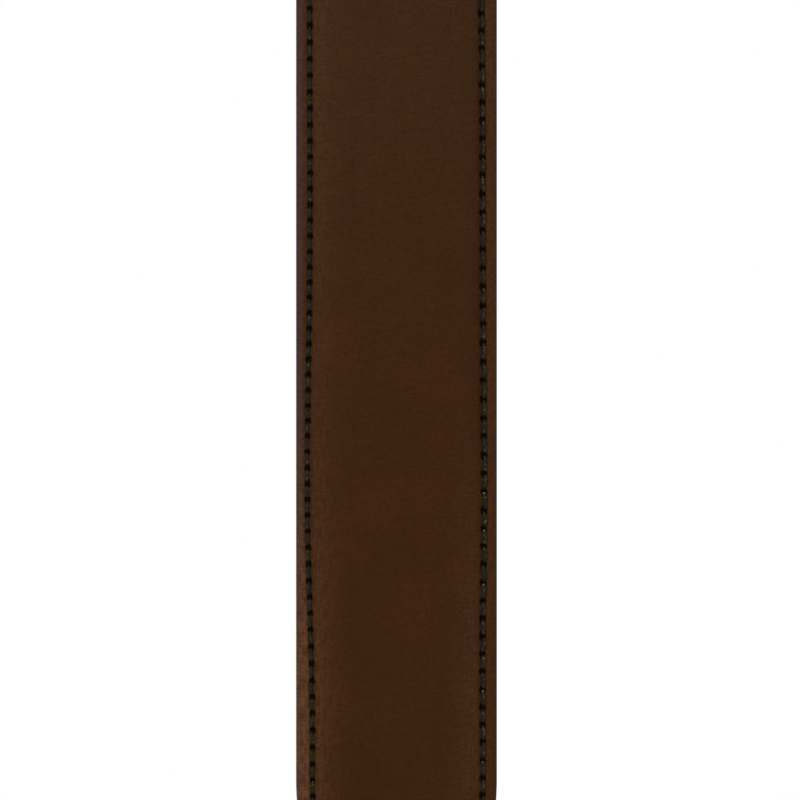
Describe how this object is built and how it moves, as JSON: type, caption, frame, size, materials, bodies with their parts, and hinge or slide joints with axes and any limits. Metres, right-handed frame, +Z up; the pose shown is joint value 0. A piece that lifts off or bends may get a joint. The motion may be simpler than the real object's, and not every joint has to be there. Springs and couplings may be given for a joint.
{
  "type": "saxophone neck strap",
  "caption": "Padded leather neck band in an open loop, with riveted webbing, a ring, an adjustable webbing drop with slider, and a swivel snap hook with a sprung gate.",
  "frame": {"origin": "middle of the arch's inner face, where the band rests on the back of the neck", "axes": "+Z up; X across the band; -Y is the front leg, +Y the back leg; the drop hangs down -Z"},
  "size_m": [0.038, 0.1298, 0.4924],
  "materials": {
    "brown_leather": "smooth dark brown garment leather",
    "suede_lining": "napped brown split leather",
    "foam": "closed-cell foam",
    "webbing": "tightly woven black nylon webbing",
    "thread": "bonded black-green thread",
    "nickel": "polished nickel plate",
    "steel_pin": "plain spring steel",
    "black_plastic": "satin moulded acetal"
  },
  "bodies": {
    "neckband": {"top_leather": "brown_leather", "foam_pad": "foam", "lining": "suede_lining", "core_webbing": "webbing", "seam_thread_left": "thread", "seam_thread_right": "thread", "bobbin_thread_left": "thread", "bobbin_thread_right": "thread", "rivet_caps": "nickel", "rivet_posts": "nickel", "rivet_backs": "nickel"},
    "ring": {"square_ring": "nickel"},
    "drop": {"anchor_fold": "webbing", "anchor_bartacks": "thread", "standing_leg": "webbing"},
    "slider": {"strap_slider": "black_plastic"},
    "carriage": {"tail_leg": "webbing", "tail_tip": "nickel"},
    "eye": {"swivel_eye": "nickel"},
    "hook": {"swivel_rivet": "nickel", "hook_body": "nickel", "gate_pin": "steel_pin", "gate_spring": "steel_pin"},
    "gate": {"gate_lever": "nickel"}
  },
  "joints": [
    {"name": "ring_swing", "type": "hinge", "parent": "neckband", "child": "ring", "pos_m": [0, 0, -0.29258], "axis": [1, 0, 0], "range_deg": [-45, 45]},
    {"name": "drop_swing", "type": "hinge", "parent": "ring", "child": "drop", "pos_m": [0, 0, -0.30458], "axis": [1, 0, 0], "range_deg": [-60, 60]},
    {"name": "slider_slide", "type": "slide", "parent": "drop", "child": "slider", "axis": [0, 0, 1], "range_m": [-0.012, 0.008]},
    {"name": "strap_adjust", "type": "slide", "parent": "drop", "child": "carriage", "axis": [0, 0, 1], "range_m": [0, 0.036], "deforming": ["standing_leg"]},
    {"name": "eye_swing", "type": "hinge", "parent": "carriage", "child": "eye", "pos_m": [0, 0, -0.43188], "axis": [1, 0, 0], "range_deg": [-60, 60]},
    {"name": "swivel_spin", "type": "hinge", "parent": "eye", "child": "hook", "pos_m": [0, 0, -0.44288], "axis": [0, 0, 1], "continuous": true},
    {"name": "gate_open", "type": "hinge", "parent": "hook", "child": "gate", "pos_m": [0.0085, 0, -0.45698], "axis": [0, 1, 0], "range_deg": [0, 35], "stiffness_Nm_per_rad": 0.02, "springref_deg": -17.19, "deforming": ["gate_spring"]}
  ]
}
